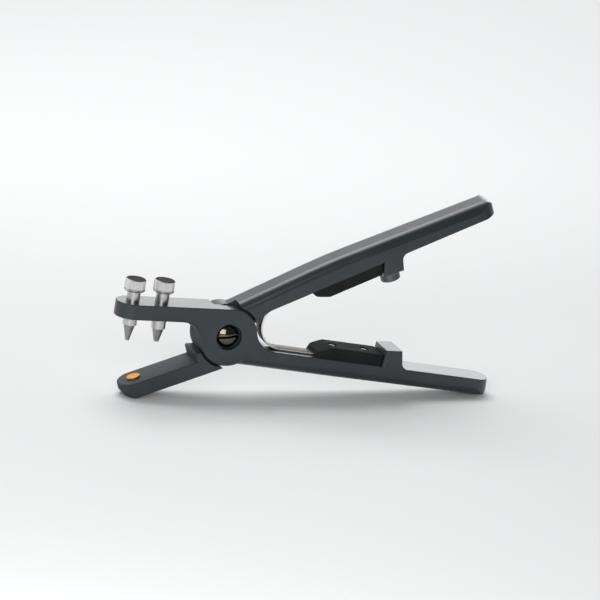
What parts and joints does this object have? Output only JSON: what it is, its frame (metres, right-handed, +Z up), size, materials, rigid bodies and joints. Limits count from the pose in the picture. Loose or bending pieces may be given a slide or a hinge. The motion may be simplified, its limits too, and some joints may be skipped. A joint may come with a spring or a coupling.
{
  "type": "lever hole punch",
  "caption": "Hand lever hole punch with crossed steel levers, screw-adjusted hollow punches in the upper jaw, a brass anvil, a hairpin leaf spring and plastic grip inserts.",
  "frame": {"origin": "middle of the base of the bounding box, on the ground that the open tool stands on", "axes": "+X along the tool from the jaws to the ends of the handles, +Y from the pivot screw's head to its nut, +Z up"},
  "size_m": [0.2328, 0.02, 0.1175],
  "materials": {
    "lever_coat": "satin dark slate grey coat over steel",
    "insert_plastic": "matt black moulded plastic",
    "bright_steel": "bright turned and plated steel",
    "tool_steel": "ground and hardened steel",
    "spring_steel": "polished spring steel",
    "pivot_steel": "dark oiled steel",
    "zinc_screw": "zinc-plated steel",
    "brass": "turned brass",
    "bronze": "sintered bronze"
  },
  "bodies": {
    "upper_jaw_side": {"upper_jaw_lever": "lever_coat", "pivot_bush": "bronze", "leaf_spring": "spring_steel", "lower_grip_insert": "insert_plastic", "lower_insert_screws": "zinc_screw", "front_punch_sleeve": "bright_steel", "rear_punch_sleeve": "bright_steel", "head_pins": "bright_steel"},
    "lower_jaw_side": {"lower_jaw_lever": "lever_coat", "pivot_screw": "pivot_steel", "pivot_nut": "zinc_screw", "pivot_washer": "bright_steel", "upper_grip_insert": "insert_plastic", "upper_insert_screws": "zinc_screw", "stop_peg": "bright_steel", "anvil": "brass", "anvil_screw": "zinc_screw"},
    "front_head": {"front_thumb_head": "bright_steel"},
    "rear_head": {"rear_thumb_head": "bright_steel"},
    "front_punch": {"front_punch": "tool_steel"},
    "rear_punch": {"rear_punch": "tool_steel"}
  },
  "joints": [
    {"name": "lever_pivot", "type": "hinge", "parent": "upper_jaw_side", "child": "lower_jaw_side", "pos_m": [-0.04839, 0, 0.03686], "axis": [0, 1, 0], "range_deg": [0, 22], "stiffness_Nm_per_rad": 3, "springref_deg": -11.46, "deforming": ["leaf_spring"]},
    {"name": "front_head_turn", "type": "hinge", "parent": "upper_jaw_side", "child": "front_head", "pos_m": [-0.10563, 0, 0.06235], "axis": [-0.0482, 0, -0.9988], "range_deg": [0, 1440]},
    {"name": "front_punch_slide", "type": "slide", "parent": "upper_jaw_side", "child": "front_punch", "axis": [0.0482, 0, 0.9988], "range_m": [0, 0.003]},
    {"name": "rear_head_turn", "type": "hinge", "parent": "upper_jaw_side", "child": "rear_head", "pos_m": [-0.08785, 0, 0.06149], "axis": [-0.0482, 0, -0.9988], "range_deg": [0, 1440]},
    {"name": "rear_punch_slide", "type": "slide", "parent": "upper_jaw_side", "child": "rear_punch", "axis": [0.0482, 0, 0.9988], "range_m": [0, 0.003]}
  ],
  "couplings": [
    {"joint": "front_head_turn", "follows": "front_punch_slide", "rad_per_m": 8377.5},
    {"joint": "rear_head_turn", "follows": "rear_punch_slide", "rad_per_m": 8377.5}
  ]
}
